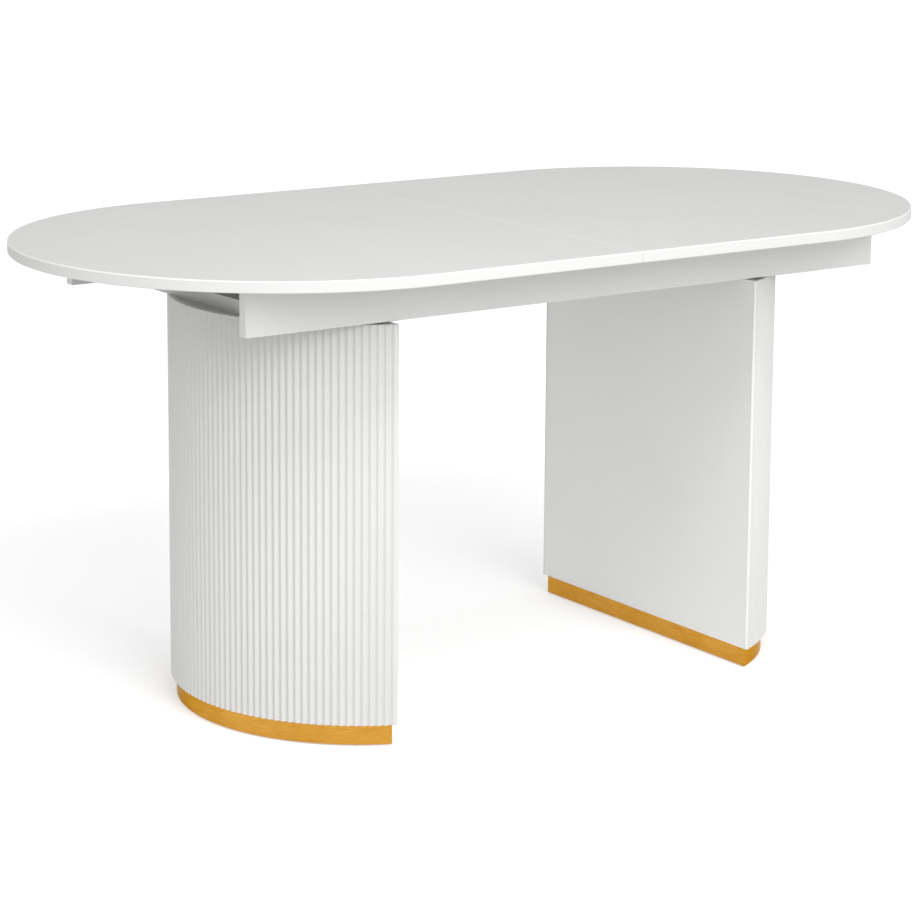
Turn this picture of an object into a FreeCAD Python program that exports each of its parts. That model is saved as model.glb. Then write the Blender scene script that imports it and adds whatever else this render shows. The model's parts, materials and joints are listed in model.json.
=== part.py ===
"""Extendable dining table: two sliding top halves, a stored leaf, a frame with
ball slides and two half-round reeded legs on gold plinths.

Millimetres, +Z up, X along the table, origin on the floor under its centre.
Pieces that come in left and right copies are written for the right-hand end,
hand = 1; hand = -1 turns them half a turn about the Z axis.
"""
import FreeCAD
import Part
import Sketcher
import math
import os
import re

SIZES = [
    # top
    ("TableLength", 1600), ("TableWidth", 850), ("TableHeight", 755), ("TopThick", 18),
    ("SeamGap", 0.4), ("EdgeRound", 1.5),
    # leaf, stored lengthways on felt pads inside the frame
    ("LeafWidth", 400), ("PadThick", 2), ("PadLength", 60), ("PadWidth", 30), ("PadOffset", 150),
    # alignment pins
    ("PinRadius", 4), ("PinReach", 10), ("PinSeat", 12), ("PinClear", 0.1), ("PinPitch", 200),
    # frame
    ("ApronLength", 1220), ("ApronSpan", 552), ("ApronThick", 18), ("ApronHeight", 77),
    ("ShadowGap", 4), ("LegBoardThick", 22), ("LegBoardInner", 330), ("LegBoardOuter", 508),
    ("MiddleBoardThick", 18), ("MiddleBoardWidth", 100),
    # cam fittings between boards and aprons
    ("CamRadius", 7.5), ("CamDepth", 12.5), ("CamInset", 34), ("CamMargin", 35), ("CamBoltRadius", 3),
    ("CamBoltSeat", 11), ("CamMiddleMargin", 20), ("FitClear", 0.1),
    # ball slides
    ("RailLength", 450), ("RailStart", 60), ("RailSheet", 1.5), ("RailHeight", 35), ("RailDrop", 2),
    ("RailDepth", 12), ("InnerRailHeight", 22), ("InnerRailDepth", 10.5), ("SlideWidth", 14.5),
    ("BallGapFree", 0.1), ("CageLength", 150), ("CageStart", 160), ("CageSheet", 0.8), ("CageRim", 1),
    ("BallPitch", 40), ("BallInset", 4), ("BattenLength", 500), ("BattenThick", 25), ("BattenHeight", 36),
    # screws
    ("ScrewRadius", 2), ("ScrewHeadRadius", 4), ("ScrewHeadHeight", 1.7), ("ScrewLength", 12),
    ("ScrewMargin", 22), ("LongScrewRadius", 2.5), ("LongScrewHeadRadius", 4.5),
    ("LongScrewHeadHeight", 4), ("LongScrewBite", 12), ("LongScrewMargin", 40),
    # seam locks
    ("LockApronGap", 59), ("LockPlateLength", 40), ("LockPlateWidth", 36), ("LockPlateThick", 2),
    ("LockSetback", 26), ("LockPostRadius", 4), ("LockHeadRadius", 5.5), ("LockHeadHeight", 2),
    ("LeverThick", 4), ("LeverDrop", 1.5), ("LeverWidth", 16), ("LeverFit", 0.05), ("NotchHalf", 5),
    ("LeverTip", 9), ("GripThick", 3), ("LockScrewHeadRadius", 2.7), ("LockScrewHeadHeight", 1),
    ("LockScrewRadius", 1.5), ("LockScrewInset", 6), ("LockScrewBite", 8),
    # legs
    ("LegFace", 348), ("LegWidth", 572), ("LegDepth", 190), ("SkinThick", 9), ("ReedPitch", 11.65),
    ("ReedDepth", 2.6), ("EndLand", 2.5), ("EndRound", 4), ("PanelThick", 18), ("CapThick", 18),
    ("FormerThick", 16), ("LowerFormerHeight", 235), ("UpperFormerHeight", 440), ("PlinthHeight", 32),
    ("PlinthInsetFace", 5), ("PlinthInsetCurve", 9), ("BandThick", 1.2),
    # glides
    ("GlideHeight", 2), ("GlideSeat", 6), ("GlideRadius", 14), ("GlideStemRadius", 4),
    # leg bolts and insert nuts
    ("BoltRadius", 4), ("BoltHeadRadius", 6.5), ("BoltHeadHeight", 8), ("BoltHeadSink", 9),
    ("BoltClear", 0.25), ("NutRadius", 6), ("NutLength", 14), ("BoltInnerX", 385), ("BoltInnerY", 190),
    ("BoltOuterX", 465), ("BoltOuterY", 110),
]

# levels and radii worked out from the sheet, as formulas
UNDER = "(TableHeight - TopThick)"
APRON_BOTTOM = f"({UNDER} - ApronHeight)"
LEG_TOP = f"({APRON_BOTTOM} - ShadowGap)"
BOARD_TOP = f"({LEG_TOP} + LegBoardThick)"
LEAF_BOTTOM = f"({BOARD_TOP} + PadThick)"
APRON_INNER = "(ApronSpan / 2 - ApronThick)"
PLINTH_TOP = "(GlideHeight + PlinthHeight)"
LEG_RADIUS = "((LegWidth^2 / 4 + LegDepth^2) / (2 * LegDepth))"
LEG_CENTRE = f"(LegFace + LegDepth - {LEG_RADIUS})"
SKIN_INNER = f"({LEG_RADIUS} - SkinThick)"
RAIL_BOTTOM = f"({UNDER} - RailDrop - RailHeight)"
SLIDE_MIDDLE = f"({RAIL_BOTTOM} + RailHeight / 2)"
BATTEN_FACE = f"({APRON_INNER} - SlideWidth)"
BALL_GAP = "((RailHeight - InnerRailHeight) / 2 - RailSheet)"
PIN_HOLE = "(PinRadius + PinClear)"
LOCK_LINE = "(ApronSpan / 2 + LockApronGap)"
LEVER_TOP = f"({UNDER} - LockPlateThick - LeverDrop)"

doc = FreeCAD.newDocument("ExtendableTable")
sheet = doc.addObject("Spreadsheet::Sheet", "Sizes")
nodes = []


def fill_sheet():
    for row, (alias, number) in enumerate(SIZES, start=1):
        sheet.set(f"A{row}", alias)
        sheet.set(f"B{row}", str(number))
        sheet.setAlias(f"B{row}", alias)
    doc.recompute()


def size(alias):
    return float(sheet.get(alias))


def bind(item, path, formula):
    """Bind one property to a formula in which capitalised words are cells of the sheet."""
    item.setExpression(path, re.sub(r"[A-Z][A-Za-z]+", r"Sizes.\g<0>", str(formula)))


def node(item, label):
    item.Label = label
    nodes.append(item)
    return item


# ---- primitives ---------------------------------------------------------------------------

def block(low, extent, hand=1):
    """A box from its lowest corner and its three extents."""
    item = doc.addObject("Part::Box", "Block")
    for path, formula in zip(("Length", "Width", "Height"), extent):
        bind(item, path, formula)
    place = list(low)
    if hand < 0:
        place[:2] = [f"-({low[i]}) - ({extent[i]})" for i in (0, 1)]
    for axis, formula in zip("xyz", place):
        bind(item, f"Placement.Base.{axis}", formula)
    return item


def rod(base, direction, radius, length, hand=1):
    """A cylinder from the centre of its base along direction."""
    item = doc.addObject("Part::Cylinder", "Rod")
    bind(item, "Radius", radius)
    bind(item, "Height", length)
    along = FreeCAD.Vector(hand * direction[0], hand * direction[1], direction[2])
    item.Placement = FreeCAD.Placement(FreeCAD.Vector(), FreeCAD.Rotation(FreeCAD.Vector(0, 0, 1), along))
    for axis, formula, sign in zip("xyz", base, (hand, hand, 1)):
        bind(item, f"Placement.Base.{axis}", f"{sign} * ({formula})")
    return item


def ball(centre, radius, hand=1):
    item = doc.addObject("Part::Sphere", "Ball")
    bind(item, "Radius", radius)
    for axis, formula, sign in zip("xyz", centre, (hand, hand, 1)):
        bind(item, f"Placement.Base.{axis}", f"{sign} * ({formula})")
    return item


def fused(items):
    item = doc.addObject("Part::MultiFuse", "Fused")
    item.Shapes = items
    return item


def grouped(items):
    item = doc.addObject("Part::Compound", "Group")
    item.Links = items
    return item


def cut(base, tools):
    item = doc.addObject("Part::Cut", "Cut")
    item.Base = base
    item.Tool = tools[0] if len(tools) == 1 else grouped(tools)
    return item


def screw(tip_side, direction, head_radius, head_height, radius, length, hand=1):
    """A screw whose head starts at tip_side; direction points from the head to the tip."""
    under_head = [f"({base}) + {step} * ({head_height})" for base, step in zip(tip_side, direction)]
    head = rod(tip_side, direction, head_radius, head_height, hand)
    shank = rod(under_head, direction, radius, length, hand)
    return fused([head, shank])


# ---- sketched bodies ----------------------------------------------------------------------

def new_body(level, hand=1):
    """An empty body turned for its hand, and a sketch in its XY plane."""
    body = doc.addObject("PartDesign::Body", "Body")
    if hand < 0:
        body.Placement.Rotation = FreeCAD.Rotation(FreeCAD.Vector(0, 0, 1), 180)
    bind(body, "Placement.Base.z", level)
    sketch = body.newObject("Sketcher::SketchObject", "Outline")
    plane = [item for item in body.Origin.OriginFeatures if item.Role == "XY_Plane"]
    sketch.AttachmentSupport = [(plane[0], "")]
    sketch.MapMode = "FlatFace"
    return body, sketch


def pad(body, sketch, thickness):
    feature = body.newObject("PartDesign::Pad", "Pad")
    feature.Profile = sketch
    bind(feature, "Length", thickness)
    doc.recompute()
    return feature


def draw_segment(sketch, tag, centre, radius, chord):
    """A circular segment: an arc centred on the X axis and a chord across it at x = chord."""
    half = math.sqrt(radius[1] ** 2 - (chord[1] - centre[1]) ** 2)
    angle = math.atan2(half, chord[1] - centre[1])
    middle = FreeCAD.Vector(centre[1], 0, 0)
    circle = Part.Circle(middle, FreeCAD.Vector(0, 0, 1), radius[1])
    arc = sketch.addGeometry(Part.ArcOfCircle(circle, -angle, angle))
    low, high = FreeCAD.Vector(chord[1], -half, 0), FreeCAD.Vector(chord[1], half, 0)
    line = sketch.addGeometry(Part.LineSegment(high, low))
    sketch.addConstraint(Sketcher.Constraint("Coincident", arc, 2, line, 1))
    sketch.addConstraint(Sketcher.Constraint("Coincident", line, 2, arc, 1))
    sketch.addConstraint(Sketcher.Constraint("PointOnObject", arc, 3, -1))
    sketch.addConstraint(Sketcher.Constraint("Vertical", line))
    sketch.addConstraint(Sketcher.Constraint("Radius", arc, radius[1]))
    sketch.addConstraint(Sketcher.Constraint("DistanceX", -1, 1, arc, 3, centre[1]))
    sketch.addConstraint(Sketcher.Constraint("DistanceX", -1, 1, line, 1, chord[1]))
    last = sketch.ConstraintCount
    for offset, (name, value) in enumerate((("Radius", radius), ("Centre", centre), ("Chord", chord))):
        sketch.renameConstraint(last - 3 + offset, name + tag)
        bind(sketch, f"Constraints.{name}{tag}", value[0])


def leg_numbers():
    """Radius of a leg's outline over the reed crests, and how far out its centre lies."""
    radius = (size("LegWidth") ** 2 / 4 + size("LegDepth") ** 2) / (2 * size("LegDepth"))
    return radius, size("LegFace") + size("LegDepth") - radius


def half_round(level, thickness, insets, hand, wall=None):
    """A half-round board set in from the leg's face and curve; wall makes it a band."""
    radius, centre = leg_numbers()
    face, curve = insets
    body, sketch = new_body(level, hand)
    rings = [("Outer", face, curve)]
    if wall:
        rings.append(("Inner", f"{face} + {wall}", f"{curve} + {wall}"))
    for tag, inset_face, inset_curve in rings:
        face_now = size("LegFace") + sum(size(part) for part in inset_face.split(" + "))
        radius_now = radius - sum(size(part) for part in inset_curve.split(" + "))
        draw_segment(sketch, tag, (LEG_CENTRE, centre),
                     (f"{LEG_RADIUS} - ({inset_curve})", radius_now),
                     (f"LegFace + {inset_face}", face_now))
    pad(body, sketch, thickness)
    return body


def ease_edges(body, feature, keep_sharp):
    """Round the long edges of both faces, apart from those for which keep_sharp is true."""
    names = []
    for index, edge in enumerate(feature.Shape.Edges, start=1):
        flat = edge.BoundBox.ZLength < 1e-6
        if flat and not keep_sharp(edge.BoundBox):
            names.append(f"Edge{index}")
    rounding = body.newObject("PartDesign::Fillet", "Eased")
    rounding.Base = (feature, names)
    bind(rounding, "Radius", "EdgeRound")
    doc.recompute()
    return body


# ---- top halves and leaf --------------------------------------------------------------------

def seam_rows():
    """Places of the alignment pins along the seam, as multiples of their pitch."""
    return (-1.5, -0.5, 0.5, 1.5)


def half_top_body(hand):
    """Half of the stadium-shaped top: straight to the tangent point, then a half circle."""
    body, sketch = new_body(UNDER, hand)
    gap, half = size("SeamGap") / 2, size("TableWidth") / 2
    tangent = size("TableLength") / 2 - half
    corners = [FreeCAD.Vector(x, y, 0) for x, y in ((gap, half), (gap, -half), (tangent, -half),
                                                    (tangent, half))]
    seam = sketch.addGeometry(Part.LineSegment(corners[0], corners[1]))
    near = sketch.addGeometry(Part.LineSegment(corners[1], corners[2]))
    circle = Part.Circle(FreeCAD.Vector(tangent, 0, 0), FreeCAD.Vector(0, 0, 1), half)
    arc = sketch.addGeometry(Part.ArcOfCircle(circle, -math.pi / 2, math.pi / 2))
    far = sketch.addGeometry(Part.LineSegment(corners[3], corners[0]))
    for kind in (("Coincident", seam, 2, near, 1), ("Tangent", near, 2, arc, 1),
                 ("Tangent", arc, 2, far, 1), ("Coincident", far, 2, seam, 1),
                 ("Vertical", seam), ("Horizontal", near), ("PointOnObject", arc, 3, -1)):
        sketch.addConstraint(Sketcher.Constraint(*kind))
    sketch.addConstraint(Sketcher.Constraint("DistanceX", -1, 1, seam, 1, gap))
    sketch.addConstraint(Sketcher.Constraint("DistanceX", -1, 1, arc, 3, tangent))
    sketch.addConstraint(Sketcher.Constraint("Radius", arc, half))
    last = sketch.ConstraintCount
    for offset, (name, formula) in enumerate((
            ("Seam", "SeamGap / 2"), ("Tangent", "TableLength / 2 - TableWidth / 2"),
            ("EndRadius", "TableWidth / 2"))):
        sketch.renameConstraint(last - 3 + offset, name)
        bind(sketch, f"Constraints.{name}", formula)
    feature = pad(body, sketch, "TopThick")
    return ease_edges(body, feature, lambda box: box.XMax < gap + 1e-6)


def batten_screw_places():
    """Distances of the batten screws from the table's centre."""
    first = "(RailStart + LongScrewMargin)"
    last = "(RailStart + BattenLength - LongScrewMargin)"
    return first, f"(({first} + {last}) / 2)", last


def lock_screw_places(side, hand):
    """Places of a lock plate's two screws, seen from the half it is on."""
    reach = "(LockPlateWidth / 2 - LockScrewInset)"
    return [("LockSetback", f"{side * hand} * ({LOCK_LINE} + {way} * {reach})") for way in (-1, 1)]


def half_top(hand, label):
    middle = f"({UNDER} + TopThick / 2)"
    tools = [rod(("0", f"{row} * PinPitch", middle), (1, 0, 0), PIN_HOLE, "SeamGap / 2 + PinSeat", hand)
             for row in seam_rows()]
    for side in (-1, 1):
        y = f"{side} * ({BATTEN_FACE} - BattenThick / 2)"
        tools += [rod((x, y, UNDER), (0, 0, 1), "LongScrewRadius", "LongScrewBite", hand)
                  for x in batten_screw_places()]
        tools += [rod((x, y, UNDER), (0, 0, 1), "LockScrewRadius", "LockScrewBite", hand)
                  for x, y in lock_screw_places(side, hand)]
    return node(cut(half_top_body(hand), tools), label)


def leaf_body():
    """The leaf as stored: its length, the table's width, lies along X."""
    body, sketch = new_body(LEAF_BOTTOM)
    x, y = size("TableWidth") / 2, size("LeafWidth") / 2
    corners = [FreeCAD.Vector(a, b, 0) for a, b in ((-x, -y), (x, -y), (x, y), (-x, y))]
    lines = [sketch.addGeometry(Part.LineSegment(corners[i], corners[(i + 1) % 4])) for i in range(4)]
    for i in range(4):
        sketch.addConstraint(Sketcher.Constraint("Coincident", lines[i], 2, lines[(i + 1) % 4], 1))
    for kind in (("Horizontal", lines[0]), ("Vertical", lines[1]), ("Horizontal", lines[2]),
                 ("Vertical", lines[3]), ("Symmetric", lines[0], 1, lines[1], 2, -1, 1)):
        sketch.addConstraint(Sketcher.Constraint(*kind))
    sketch.addConstraint(Sketcher.Constraint("DistanceX", lines[0], 1, lines[0], 2, 2 * x))
    sketch.addConstraint(Sketcher.Constraint("DistanceY", lines[1], 1, lines[1], 2, 2 * y))
    last = sketch.ConstraintCount
    for offset, (name, formula) in enumerate((("Along", "TableWidth"), ("Across", "LeafWidth"))):
        sketch.renameConstraint(last - 2 + offset, name)
        bind(sketch, f"Constraints.{name}", formula)
    feature = pad(body, sketch, "TopThick")
    return ease_edges(body, feature, lambda box: box.XLength > 1e-6)


def leaf():
    middle = f"({LEAF_BOTTOM} + TopThick / 2)"
    tools = [rod((f"{row} * PinPitch", f"{side} * LeafWidth / 2", middle), (0, -side, 0), PIN_HOLE,
                 "PinSeat", 1) for side in (-1, 1) for row in seam_rows()]
    node(cut(leaf_body(), tools), "leaf")
    pins = [rod((f"{row} * PinPitch", "LeafWidth / 2 - PinSeat", middle), (0, 1, 0), "PinRadius",
                "PinSeat + PinReach") for row in seam_rows()]
    node(grouped(pins), "leaf_pins")


def seam_pins():
    middle = f"({UNDER} + TopThick / 2)"
    node(grouped([rod(("-PinReach", f"{row} * PinPitch", middle), (1, 0, 0), "PinRadius",
                      "PinReach + SeamGap / 2 + PinSeat") for row in seam_rows()]), "seam_pins")


# ---- frame ----------------------------------------------------------------------------------

def boards():
    """Each board under the frame: label, x range, level and thickness."""
    leg = ("LegBoardInner", "LegBoardOuter")
    return (("leg_board_left", f"-{leg[1]}", f"-{leg[0]}", LEG_TOP, "LegBoardThick", "CamMargin"),
            ("middle_board", "-MiddleBoardWidth / 2", "MiddleBoardWidth / 2",
             f"({BOARD_TOP} - MiddleBoardThick)", "MiddleBoardThick", "CamMiddleMargin"),
            ("leg_board_right", leg[0], leg[1], LEG_TOP, "LegBoardThick", "CamMargin"))


def cam_places(board):
    """X places of the cam fittings at the ends of a board."""
    return f"({board[1]} + {board[5]})", f"({board[2]} - {board[5]})"


def cam_level(board):
    """Height of a board's cam bolts: the middle of what board and apron share."""
    return f"(({board[3]} + {BOARD_TOP}) / 2)"


def bolt_places():
    pairs = (("BoltInnerX", "BoltInnerY"), ("BoltOuterX", "BoltOuterY"))
    return [(x, f"{side} * {y}") for x, y in pairs for side in (-1, 1)]


def bolt_tools(hand):
    """Bolt holes through a leg board, widened at the top for the heads."""
    tools = []
    for x, y in bolt_places():
        hole = rod((x, y, LEG_TOP), (0, 0, 1), "BoltRadius + BoltClear", "LegBoardThick", hand)
        head_room = rod((x, y, f"{BOARD_TOP} - BoltHeadSink"), (0, 0, 1), "BoltHeadRadius + BoltClear",
                        "BoltHeadSink", hand)
        tools.append(fused([hole, head_room]))
    return tools


def cam_tools(board):
    tools = []
    for side in (-1, 1):
        for x in cam_places(board):
            end = f"{side} * {APRON_INNER}"
            cam_y = f"{side} * ({APRON_INNER} - CamInset)"
            tools.append(rod((x, end, cam_level(board)), (0, -side, 0), "CamBoltRadius + FitClear",
                             "CamInset"))
            tools.append(rod((x, cam_y, f"{BOARD_TOP} - CamDepth"), (0, 0, 1), "CamRadius + FitClear",
                             "CamDepth"))
    return tools


def frame_boards():
    for board in boards():
        label, low, high, level, thick, margin = board
        base = block((low, f"-{APRON_INNER}", level), (f"({high}) - ({low})", f"2 * {APRON_INNER}", thick))
        board_item = cut(base, cam_tools(board))
        if label != "middle_board":
            board_item = cut(board_item, bolt_tools(1 if label == "leg_board_right" else -1))
        node(board_item, label)


def rail_screw_places():
    return "(RailStart + ScrewMargin)", "(RailStart + RailLength - ScrewMargin)"


def apron(side, label):
    y = "-ApronSpan / 2" if side < 0 else APRON_INNER
    base = block(("-ApronLength / 2", y, APRON_BOTTOM), ("ApronLength", "ApronThick", "ApronHeight"))
    face = f"{side} * {APRON_INNER}"
    tools = [rod((x, face, cam_level(board)), (0, side, 0), "CamBoltRadius + FitClear", "CamBoltSeat")
             for board in boards() for x in cam_places(board)]
    tools += [rod((f"{hand} * {x}", face, SLIDE_MIDDLE), (0, side, 0), "ScrewRadius", "ScrewLength")
              for hand in (-1, 1) for x in rail_screw_places()]
    node(cut(base, tools), label)


def cam_fittings():
    discs, bolts = [], []
    for board in boards():
        for side in (-1, 1):
            for x in cam_places(board):
                cam_y = f"{side} * ({APRON_INNER} - CamInset)"
                discs.append(rod((x, cam_y, f"{BOARD_TOP} - CamDepth"), (0, 0, 1), "CamRadius", "CamDepth"))
                start = f"{side} * ({APRON_INNER} + CamBoltSeat)"
                bolts.append(rod((x, start, cam_level(board)), (0, -side, 0), "CamBoltRadius",
                                 "CamBoltSeat + CamInset - CamRadius"))
    node(grouped(discs), "cam_discs")
    node(grouped(bolts), "cam_bolts")


def leaf_pads():
    """Felt strips on the three boards, under the stored leaf."""
    pads = []
    for start in ("-LegBoardInner - PadWidth - PadLength", "-PadLength / 2", "LegBoardInner + PadWidth"):
        for side in (-1, 1):
            pads.append(block((start, f"{side} * PadOffset - PadWidth / 2", BOARD_TOP),
                              ("PadLength", "PadWidth", "PadThick")))
    node(grouped(pads), "leaf_pads")


# ---- ball slides ----------------------------------------------------------------------------

def span(side, near, far, hand=1):
    """Y position and width of something between two distances from the middle, on one side."""
    width = f"(({far}) - ({near}))"
    return (f"({near})" if side * hand > 0 else f"-({far})"), width


def channel(start, length, level, height, inner, outer, web_outside, side, hand):
    """A rail of C section: a web on one side and two lips, RailSheet thick."""
    y, width = span(side, inner, outer, hand)
    shell = block((start, y, level), (length, width, height), hand)
    hollow_inner = inner if web_outside else f"({inner}) + RailSheet"
    hollow_outer = f"({outer}) - RailSheet" if web_outside else outer
    y, width = span(side, hollow_inner, hollow_outer, hand)
    extent = (length, width, f"({height}) - 2 * RailSheet")
    hollow = block((start, y, f"({level}) + RailSheet"), extent, hand)
    return cut(shell, [hollow])


def fixed_rail(side, hand, label):
    rail = channel("RailStart", "RailLength", RAIL_BOTTOM, "RailHeight", f"{APRON_INNER} - RailDepth",
                   APRON_INNER, True, side, hand)
    holes = [rod((x, f"{side * hand} * {APRON_INNER}", SLIDE_MIDDLE), (0, -side * hand, 0), "ScrewRadius",
                 "RailSheet", hand) for x in rail_screw_places()]
    node(cut(rail, holes), label)


def moving_rail(side, hand, label):
    level = f"({SLIDE_MIDDLE} - InnerRailHeight / 2)"
    rail = channel("RailStart", "RailLength", level, "InnerRailHeight", BATTEN_FACE,
                   f"{BATTEN_FACE} + InnerRailDepth", False, side, hand)
    holes = [rod((x, f"{side * hand} * {BATTEN_FACE}", SLIDE_MIDDLE), (0, side * hand, 0), "ScrewRadius",
                 "RailSheet", hand) for x in rail_screw_places()]
    node(cut(rail, holes), label)


def batten(side, hand, label):
    y, width = span(side, f"{BATTEN_FACE} - BattenThick", BATTEN_FACE, hand)
    base = block(("RailStart", y, f"{UNDER} - BattenHeight"), ("BattenLength", width, "BattenHeight"), hand)
    middle = f"{side * hand} * ({BATTEN_FACE} - BattenThick / 2)"
    tools = []
    for x in batten_screw_places():
        tools.append(fused([
            rod((x, middle, f"{UNDER} - BattenHeight"), (0, 0, 1), "LongScrewRadius", "BattenHeight", hand),
            rod((x, middle, f"{UNDER} - BattenHeight"), (0, 0, 1), "LongScrewHeadRadius + FitClear",
                "LongScrewHeadHeight", hand)]))
    tools += [rod((x, f"{side * hand} * {BATTEN_FACE}", SLIDE_MIDDLE), (0, -side * hand, 0), "ScrewRadius",
                  "ScrewLength", hand) for x in rail_screw_places()]
    node(cut(base, tools), label)


def cage(side, hand):
    """The ball cage of one slide: a web, two pierced strips, and a ball in each hole."""
    web_out = f"({APRON_INNER} - RailSheet - 2 * FitClear)"
    ball_y = f"({APRON_INNER} - RailDepth + BallInset)"
    reach = f"({BALL_GAP} / 2 + InnerRailHeight / 2)"
    radius = f"({BALL_GAP} / 2 - BallGapFree)"
    y, width = span(side, f"{web_out} - CageSheet", web_out, hand)
    extent = ("CageLength", width, f"2 * {reach}")
    sheets = [block(("CageStart", y, f"{SLIDE_MIDDLE} - {reach}"), extent, hand)]
    holes, balls = [], []
    for way in (-1, 1):
        level = f"({SLIDE_MIDDLE} + {way} * {reach})"
        y, width = span(side, f"{ball_y} - {radius} - CageRim", web_out, hand)
        under = f"{level} - CageSheet / 2"
        sheets.append(block(("CageStart", y, under), ("CageLength", width, "CageSheet"), hand))
        for step in (-1.5, -0.5, 0.5, 1.5):
            x = f"(CageStart + CageLength / 2 + {step} * BallPitch)"
            y = f"{side * hand} * {ball_y}"
            holes.append(rod((x, y, under), (0, 0, 1), f"{radius} + FitClear", "CageSheet", hand))
            balls.append(ball((x, y, level), radius, hand))
    return [cut(fused(sheets), holes), *balls]


def slide_screws(hand, name):
    """Screws that hold the moving rails to the battens of one half."""
    screws = []
    for side in (-1, 1):
        for x in rail_screw_places():
            head = f"{side * hand} * ({BATTEN_FACE} + RailSheet + ScrewHeadHeight)"
            screws.append(screw((x, head, SLIDE_MIDDLE), (0, -side * hand, 0), "ScrewHeadRadius",
                                "ScrewHeadHeight", "ScrewRadius", "ScrewLength", hand))
    node(grouped(screws), f"{name}_slide_screws")


def batten_screws(hand, name):
    screws = []
    for side in (-1, 1):
        y = f"{side} * ({BATTEN_FACE} - BattenThick / 2)"
        for x in batten_screw_places():
            screws.append(screw((x, y, f"{UNDER} - BattenHeight"), (0, 0, 1), "LongScrewHeadRadius",
                                "LongScrewHeadHeight", "LongScrewRadius",
                                "BattenHeight - LongScrewHeadHeight + LongScrewBite", hand))
    node(grouped(screws), f"{name}_batten_screws")


def fixed_rail_screws():
    screws = []
    for side in (-1, 1):
        for hand in (-1, 1):
            for x in rail_screw_places():
                head = f"{side} * ({APRON_INNER} - RailSheet - ScrewHeadHeight)"
                screws.append(screw((f"{hand} * {x}", head, SLIDE_MIDDLE), (0, side, 0), "ScrewHeadRadius",
                                    "ScrewHeadHeight", "ScrewRadius", "ScrewLength"))
    node(grouped(screws), "fixed_rail_screws")


def slides():
    for hand, name in ((-1, "left"), (1, "right")):
        for side, where in ((-1, "near"), (1, "far")):
            fixed_rail(side, hand, f"{name}_{where}_fixed_rail")
            moving_rail(side, hand, f"{name}_{where}_moving_rail")
            batten(side, hand, f"{name}_{where}_batten")
        node(grouped(cage(-1, hand) + cage(1, hand)), f"{name}_ball_cages")
        slide_screws(hand, name)
        batten_screws(hand, name)
    fixed_rail_screws()


# ---- seam locks -----------------------------------------------------------------------------

def lock_plate(side, hand):
    """A plate under one half beside the seam, and the screws' holes in it."""
    y, width = span(side, f"{LOCK_LINE} - LockPlateWidth / 2", f"{LOCK_LINE} + LockPlateWidth / 2", hand)
    low = ("LockSetback - LockPlateLength / 2", y, f"{UNDER} - LockPlateThick")
    base = block(low, ("LockPlateLength", width, "LockPlateThick"), hand)
    holes = [rod((x, y, f"{UNDER} - LockPlateThick"), (0, 0, 1), "LockScrewRadius", "LockPlateThick", hand)
             for x, y in lock_screw_places(side, hand)]
    return cut(base, holes)


def lock_post(side, hand):
    """A headed post that stands down from a lock plate."""
    y = f"{side * hand} * {LOCK_LINE}"
    length = "LeverDrop + LeverThick + FitClear + LockHeadHeight"
    shank = rod(("LockSetback", y, f"{UNDER} - LockPlateThick"), (0, 0, -1), "LockPostRadius", length, hand)
    head = rod(("LockSetback", y, f"{LEVER_TOP} - LeverThick - FitClear"), (0, 0, -1), "LockHeadRadius",
               "LockHeadHeight", hand)
    return shank, head


def lock(side, where):
    node(fused([lock_plate(side, 1), *lock_post(side, 1)]), f"{where}_lock_base")
    node(fused([lock_plate(side, -1), *lock_post(side, -1)]), f"{where}_lock_keeper")
    low = f"({LEVER_TOP} - LeverThick)"
    y = f"{side} * {LOCK_LINE}"
    bar_low = ("LockSetback", f"{y} - LeverWidth / 2", low)
    bar = block(bar_low, ("2 * LockSetback + LeverTip", "LeverWidth", "LeverThick"))
    eye = rod(("LockSetback", y, low), (0, 0, 1), "LeverWidth / 2", "LeverThick")
    pivot_hole = rod(("LockSetback", y, low), (0, 0, 1), "LockPostRadius + LeverFit", "LeverThick")
    hook_x = "(3 * LockSetback)"
    seat = rod((hook_x, y, low), (0, 0, 1), "NotchHalf", "LeverThick")
    mouth_y = f"({y}) - LeverWidth" if side < 0 else y
    mouth = block((f"{hook_x} - NotchHalf", mouth_y, low), ("2 * NotchHalf", "LeverWidth", "LeverThick"))
    grip = block((f"{hook_x} + LeverTip - GripThick", f"{y} - LeverWidth / 2", f"{low} - LeverThick"),
                 ("GripThick", "LeverWidth", "LeverThick"))
    node(cut(fused([bar, eye, grip]), [fused([seat, mouth]), pivot_hole]), f"{where}_lock_lever")


def lock_screws(hand, name):
    screws = []
    for side in (-1, 1):
        for x, y in lock_screw_places(side, hand):
            screws.append(screw((x, y, f"{UNDER} - LockPlateThick - LockScrewHeadHeight"), (0, 0, 1),
                                "LockScrewHeadRadius", "LockScrewHeadHeight", "LockScrewRadius",
                                "LockPlateThick + LockScrewBite", hand))
    node(grouped(screws), f"{name}_lock_screws")


# ---- legs -----------------------------------------------------------------------------------

def inner_panel(hand, label):
    """The flat board that closes a leg; its ends follow the inside of the curved skin."""
    slab = block(("LegFace", "-LegWidth / 2", PLINTH_TOP), ("PanelThick", "LegWidth",
                                                            f"{LEG_TOP} - {PLINTH_TOP}"), hand)
    round_bar = rod((LEG_CENTRE, "0", PLINTH_TOP), (0, 0, 1), SKIN_INNER, f"{LEG_TOP} - {PLINTH_TOP}", hand)
    item = doc.addObject("Part::Common", "Panel")
    item.Base, item.Tool = slab, round_bar
    node(item, label)


def polar(centre, radius, angle):
    return FreeCAD.Vector(centre + radius * math.cos(angle), radius * math.sin(angle), 0)


def arc_through(*points):
    return Part.Arc(*points).toShape()


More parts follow.
